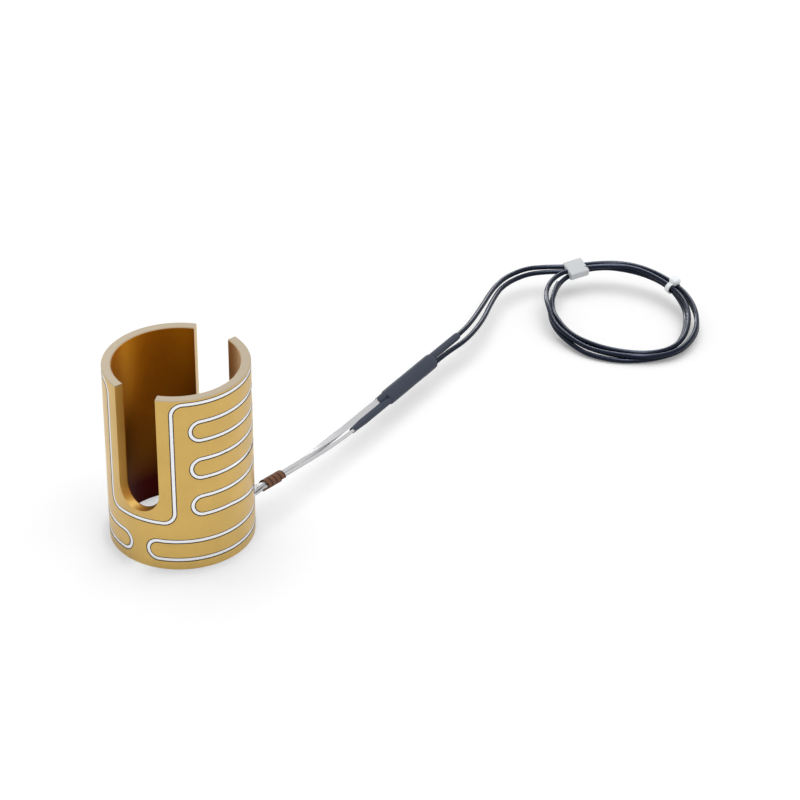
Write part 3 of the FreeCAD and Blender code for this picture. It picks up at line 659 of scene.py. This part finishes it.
def drawn_skin(sections, sides):
    """An open skin shrunk over its core, drawn up along Z from section to section, in millimetres."""
    bpy.ops.object.select_all(action="DESELECT")
    bpy.ops.mesh.primitive_circle_add(vertices=sides, radius=MM, rotation=(0.0, 0.0, math.pi / sides))
    bpy.ops.object.transform_apply(location=False, rotation=True, scale=False)
    bpy.ops.object.mode_set(mode="EDIT")
    bpy.ops.mesh.select_all(action="SELECT")
    height, half_width, half_height = 0.0, 1.0, 1.0
    for number, (next_height, next_width, next_half) in enumerate(sections):
        rise = (0.0, 0.0, (next_height - height) * MM)
        if number:
            bpy.ops.mesh.extrude_region_move(TRANSFORM_OT_translate={"value": rise})
        else:
            bpy.ops.transform.translate(value=rise)
        grow = (next_width / half_width, next_half / half_height, 1.0)
        bpy.ops.transform.resize(value=grow, center_override=(0.0, 0.0, 0.0))
        height, half_width, half_height = next_height, next_width, next_half
    bpy.ops.mesh.select_all(action="SELECT")
    bpy.ops.mesh.normals_make_consistent(inside=False)
    bpy.ops.object.mode_set(mode="OBJECT")
    add_modifier("SOLIDIFY", thickness=SKIN_WALL * MM, offset=-1.0)
    add_modifier("BEVEL", width=0.35 * SKIN_WALL * MM, segments=2, limit_method="ANGLE",
                 angle_limit=math.radians(60.0))


def make_cord(name, points, diameter):
    """A round cord along a smooth open curve that these points steer, in metres."""
    curve = bpy.data.curves.new(name, "CURVE")
    curve.dimensions = "3D"
    curve.bevel_depth = diameter / 2.0
    curve.bevel_resolution = 5
    curve.resolution_u = 10
    curve.use_fill_caps = True
    spline = curve.splines.new("NURBS")
    spline.points.add(len(points) - 1)
    for knot, point in zip(spline.points, points):
        knot.co = (*point, 1.0)
    spline.order_u = 3
    spline.use_endpoint_u = True
    cord = bpy.data.objects.new(name, curve)
    bpy.context.scene.collection.objects.link(cord)
    return cord


# Operators

class HEATER_OT_sleeve(bpy.types.Operator):
    """Dress the slotted brass sleeve"""
    bl_idname = "heater.sleeve"
    bl_label = "Brass sleeve"

    def execute(self, context):
        dress("sleeve", blasted_brass(context.scene.heater_looks))
        # Diffuse light passes it by, which keeps its warm glow off the white floor
        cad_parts["sleeve"].visible_diffuse = False
        return {"FINISHED"}


class HEATER_OT_element(bpy.types.Operator):
    """Dress the flat element and its two cold legs"""
    bl_idname = "heater.element"
    bl_label = "Heating element"

    def execute(self, context):
        dress("heating_element", drawn_sheath(context.scene.heater_looks))
        return {"FINISHED"}


class HEATER_OT_binding(bpy.types.Operator):
    """Dress the strip that binds the legs"""
    bl_idname = "heater.binding"
    bl_label = "Binding strip"

    def execute(self, context):
        dress("binding_wrap", wound_tape(context.scene.heater_looks))
        return {"FINISHED"}


class HEATER_OT_splice(bpy.types.Operator):
    """Model the heat-shrink skins over the splice"""
    bl_idname = "heater.splice"
    bl_label = "Heat-shrink sleeves"

    def execute(self, context):
        looks = context.scene.heater_looks
        # Shrunk polyolefin: matt, slightly uneven where it has drawn in
        skin, _, _ = moulded("heat_shrink", looks.shrink, 0.5, 1.6, 0.08, 0.06, 0.3)
        made = (
            ("lower_skin", LOWER_SKIN, 0.88, 16, "joint_sleeve_lower"),
            ("upper_skin", UPPER_SKIN, -0.9, 16, "joint_sleeve_upper"),
            ("outer_skin", OUTER_SKIN, 0.0, 10, "outer_sleeve"),
        )
        for name, sections, side, sides, node in made:
            drawn_skin(sections, sides)
            place(splice_matrix(side))
            new_piece(name, skin, "heat_shrink", node)
            bpy.ops.object.shade_smooth_by_angle(angle=math.radians(30.0))
        return {"FINISHED"}


class HEATER_OT_joints(bpy.types.Operator):
    """Dress the seals, pins, crimps and conductors inside the splice"""
    bl_idname = "heater.joints"
    bl_label = "Joint insides"

    def execute(self, context):
        # Fired ceramic: chalky white with a fine dry grain
        seal, _, _ = moulded("fired_seal", linear("#EAE6DC"), 0.7, 0.3, 0.03)
        pin = bright_metal("nickel_pin", "#B8B2A6", 0.3)
        tinned = bright_metal("tinned_copper", "#C2C2C4", 0.34)
        for label in LABELS:
            dress("end_seal_" + label, seal)
            dress("terminal_pin_" + label, pin)
            dress("crimp_" + label, tinned)
            dress("conductor_" + label, tinned)
        return {"FINISHED"}


class HEATER_OT_tag(bpy.types.Operator):
    """Model the flat tag round the leads where they enter the coil"""
    bl_idname = "heater.tag"
    bl_label = "Tag"

    def execute(self, context):
        looks = context.scene.heater_looks
        trim = context.scene.heater_trim
        rounded_cube((trim.tag_width, trim.tag_height, trim.tag_length), 0.9, 4)
        raised = Matrix.Translation(Vector((0.0, TAG_RAISED, 0.0)) * MM)
        place(coil_matrix(TAG_BEARING) @ raised @ Matrix.Rotation(trim.tag_roll, 4, "Z"))
        # Moulded nylon: pale grey, satin, with the fine spark grain of its mould
        nylon, _, _ = moulded("grey_nylon", looks.tag, 0.42, 1.2, 0.02, 0.015)
        new_piece("tag_slab", nylon, "grey_tag", "tag")
        bpy.ops.object.shade_smooth_by_angle(angle=math.radians(40.0))
        return {"FINISHED"}


class HEATER_OT_tie(bpy.types.Operator):
    """Model the cable tie: its strap, its head and the cut end"""
    bl_idname = "heater.tie"
    bl_label = "Cable tie"

    def execute(self, context):
        looks = context.scene.heater_looks
        trim = context.scene.heater_trim
        # Drawn round the four strands: a flattened loop, bent through its head on the outer side
        bpy.ops.object.select_all(action="DESELECT")
        bpy.ops.mesh.primitive_cylinder_add(
            vertices=48, radius=STRAP_HALF_HEIGHT * MM, depth=trim.strap_width * MM, end_fill_type="NOTHING")
        strap = bpy.context.view_layer.objects.active
        strap.scale = (STRAP_OVALITY, 1.0, 1.0)
        bpy.ops.object.transform_apply(location=False, rotation=False, scale=True)
        add_modifier("SOLIDIFY", thickness=trim.strap_thickness * MM, offset=1.0)
        add_modifier("BEVEL", width=0.18 * MM, segments=2, limit_method="ANGLE")
        head = rounded_cube(TIE_HEAD_SIZE, 1.2, 5)
        head.location = TIE_HEAD_PLACE * MM
        tail = rounded_cube(TIE_TAIL_SIZE, 0.3)
        tail.location = TIE_TAIL_PLACE * MM
        join_new([strap, head, tail])
        place(coil_matrix(TIE_BEARING))
        # Moulded nylon: white, with the low gloss of its smooth mould
        nylon, _, _ = moulded("white_nylon", looks.tie, 0.32, 0.9, 0.02, 0.02)
        new_piece("tie_strap", nylon, "white_tie", "cable_tie")
        bpy.ops.object.shade_smooth_by_angle(angle=math.radians(40.0))
        return {"FINISHED"}


class HEATER_OT_leads(bpy.types.Operator):
    """Lay both insulated leads from the splice to the coil and round it"""
    bl_idname = "heater.leads"
    bl_label = "Leads"

    def execute(self, context):
        leads = context.scene.heater_leads
        diameter = leads.diameter * MM
        insulation = glossy_insulation(context.scene.heater_looks)
        trim = ["tag_slab", "tie_strap"]
        laid = (
            ("upper", UPPER_ROUTE, UPPER_LAY, UPPER_EXIT, ["lead_upper", "lead_coil"], trim),
            ("lower", LOWER_ROUTE, LOWER_LAY, LOWER_EXIT, ["lead_lower"], []),
        )
        for label, route, lay, leave, nodes, carried in laid:
            points = [Vector(p) * MM for p in route] + coil_turns(lay)
            cord = make_cord("lead_" + label + "_cord", points, diameter)
            cord.data.materials.append(insulation)
            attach(cord, BODY)
            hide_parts(*nodes)
        return {"FINISHED"}


class HEATER_OT_stage(bpy.types.Operator):
    """Set the floor, the soft light and the camera"""
    bl_idname = "heater.stage"
    bl_label = "Stage"

    def execute(self, context):
        stage = context.scene.heater_stage
        self.make_floor()
        self.make_world(stage.surround)
        key = self.make_lamp("key", KEY_PLACE, LAMP_AIM, None, stage.key_power)
        key.data.angle = math.radians(65.0)
        key.visible_glossy = False
        # The sleeve keeps its shadow from the even light alone: the floor beside it is nearly white
        self.link(key.light_linking, "blocker_collection", [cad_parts["sleeve"]], "EXCLUDE")
        top = self.make_lamp("top_glint", TOP_GLINT_PLACE, LAMP_AIM, GLINT_SIZE, stage.top_glint)
        side = self.make_lamp("side_glint", SIDE_GLINT_PLACE, LAMP_AIM, GLINT_SIZE, stage.side_glint)
        # Two long lamps for the leads alone: one over the coil, running away from the camera, one behind
        coil = COIL_CENTRE * MM
        overhead = coil + Vector((0.0, 0.0, OVER_STRIP_HEIGHT))
        over = self.make_lamp("over_strip", overhead, coil, OVER_STRIP_SIZE, stage.over_strip)
        over.rotation_euler = (0.0, 0.0, stage.camera_turn)
        depth = Vector((-math.sin(stage.camera_turn), math.cos(stage.camera_turn), 0.0))
        rear = coil + BEHIND_STRIP_DISTANCE * depth + Vector((0.0, 0.0, BEHIND_STRIP_HEIGHT))
        behind = self.make_lamp("behind_strip", rear, coil, BEHIND_STRIP_SIZE, stage.behind_strip)
        cords = [piece for piece in context.scene.objects if piece.type == "CURVE"]
        for strip in (over, behind):
            self.link(strip.light_linking, "receiver_collection", cords, "INCLUDE")
        for glint in (top, side, over, behind):
            glint.visible_diffuse = False
        view = bpy.data.cameras.new("view")
        view.lens = stage.lens
        view.sensor_width = 36.0
        view.clip_start = 0.05
        view.clip_end = 50.0
        camera = bpy.data.objects.new("view", view)
        context.scene.collection.objects.link(camera)
        camera.location = stage.camera_place
        camera.rotation_euler = (math.pi / 2.0 - stage.camera_pitch, 0.0, stage.camera_turn)
        context.scene.camera = camera
        context.scene.view_settings.view_transform = "Standard"
        return {"FINISHED"}

    def make_floor(self):
        """White sweep: it keeps the shadows, and its own light for the camera brings it up to white."""
        bpy.ops.object.select_all(action="DESELECT")
        bpy.ops.mesh.primitive_plane_add(size=30.0, location=(0.0, 0.0, -0.0001))
        floor = bpy.context.view_layer.objects.active
        floor.name = "floor"
        material, tree, shader = new_material("white_paper")
        shader.inputs["Base Color"].default_value = linear("#F4F4F4")
        shader.inputs["Roughness"].default_value = 0.9
        shader.inputs["Specular IOR Level"].default_value = 0.1
        path = add_node(tree, "ShaderNodeLightPath")
        lift = compute(tree, "MULTIPLY", path.outputs["Is Camera Ray"], FLOOR_LIFT)
        glow = add_node(tree, "ShaderNodeEmission", {"Strength": lift})
        both = add_node(tree, "ShaderNodeAddShader", {0: shader.outputs["BSDF"], 1: glow.outputs[0]})
        output = next(n for n in tree.nodes if n.type == "OUTPUT_MATERIAL")
        tree.links.new(both.outputs[0], output.inputs["Surface"])
        floor.data.materials.append(material)

    def make_world(self, strength):
        """Even light from all sides, which the camera and mirroring surfaces see as white."""
        world = bpy.data.worlds.new("white_room")
        bpy.context.scene.world = world
        world.use_nodes = True
        tree = world.node_tree
        tree.nodes.clear()
        path = add_node(tree, "ShaderNodeLightPath")
        seen = compute(tree, "MAXIMUM", path.outputs["Is Camera Ray"], path.outputs["Is Glossy Ray"])
        seen = compute(tree, "MAXIMUM", seen, path.outputs["Is Transmission Ray"])
        light = add_node(tree, "ShaderNodeBackground", {"Strength": strength})
        white = add_node(tree, "ShaderNodeBackground", {"Strength": 1.0})
        for background in (light, white):
            background.inputs["Color"].default_value = (1.0, 1.0, 1.0, 1.0)
        mixed = add_node(tree, "ShaderNodeMixShader", {
            0: seen, 1: light.outputs[0], 2: white.outputs[0]})
        add_node(tree, "ShaderNodeOutputWorld", {"Surface": mixed.outputs[0]})

    def make_lamp(self, name, place_at, aim, size, power):
        """A sun, or a rectangular lamp where a size is given, turned to what it lights."""
        lamp = bpy.data.lights.new(name, "AREA" if size else "SUN")
        lamp.energy = power
        if size:
            lamp.shape = "RECTANGLE"
            lamp.size, lamp.size_y = size
        holder = bpy.data.objects.new(name, lamp)
        bpy.context.scene.collection.objects.link(holder)
        holder.location = place_at
        holder.rotation_euler = (aim - place_at).to_track_quat("-Z", "Y").to_euler()
        return holder

    def link(self, linking, role, pieces, state):
        """Let a lamp light, or be shadowed by, only these pieces or all but these."""
        group = bpy.data.collections.new(role)
        setattr(linking, role, group)
        for piece in pieces:
            group.objects.link(piece)
        for member in group.collection_objects:
            member.light_linking.link_state = state


OPERATORS = (
    HEATER_OT_stage, HEATER_OT_tag, HEATER_OT_tie, HEATER_OT_leads, HEATER_OT_sleeve, HEATER_OT_element,
    HEATER_OT_binding, HEATER_OT_splice, HEATER_OT_joints,
)
GROUPS = {
    "heater_looks": HeaterLooks,
    "heater_leads": HeaterLeads,
    "heater_trim": HeaterTrim,
    "heater_stage": HeaterStage,
}


class HEATER_PT_panel(bpy.types.Panel):
    """Lists the heater's pieces and their sizes and colours"""
    bl_idname = "HEATER_PT_panel"
    bl_label = "Nozzle heater"
    bl_space_type = "VIEW_3D"
    bl_region_type = "UI"
    bl_category = "Heater"

    def draw(self, context):
        for operator in OPERATORS:
            self.layout.operator(operator.bl_idname)
        for name, group in GROUPS.items():
            box = self.layout.box()
            for field in group.__annotations__:
                box.prop(getattr(context.scene, name), field)


def register():
    for group in GROUPS.values():
        bpy.utils.register_class(group)
    for operator in OPERATORS:
        bpy.utils.register_class(operator)
    bpy.utils.register_class(HEATER_PT_panel)
    for name, group in GROUPS.items():
        setattr(bpy.types.Scene, name, bpy.props.PointerProperty(type=group))


def unregister():
    for name in GROUPS:
        delattr(bpy.types.Scene, name)
    bpy.utils.unregister_class(HEATER_PT_panel)
    for operator in OPERATORS:
        bpy.utils.unregister_class(operator)
    for group in GROUPS.values():
        bpy.utils.unregister_class(group)


def main():
    register()
    bpy.ops.heater.tag()
    bpy.ops.heater.tie()
    bpy.ops.heater.leads()
    bpy.ops.heater.sleeve()
    bpy.ops.heater.element()
    bpy.ops.heater.binding()
    bpy.ops.heater.splice()
    bpy.ops.heater.joints()
    bpy.ops.heater.stage()


if __name__ == "__main__":
    main()
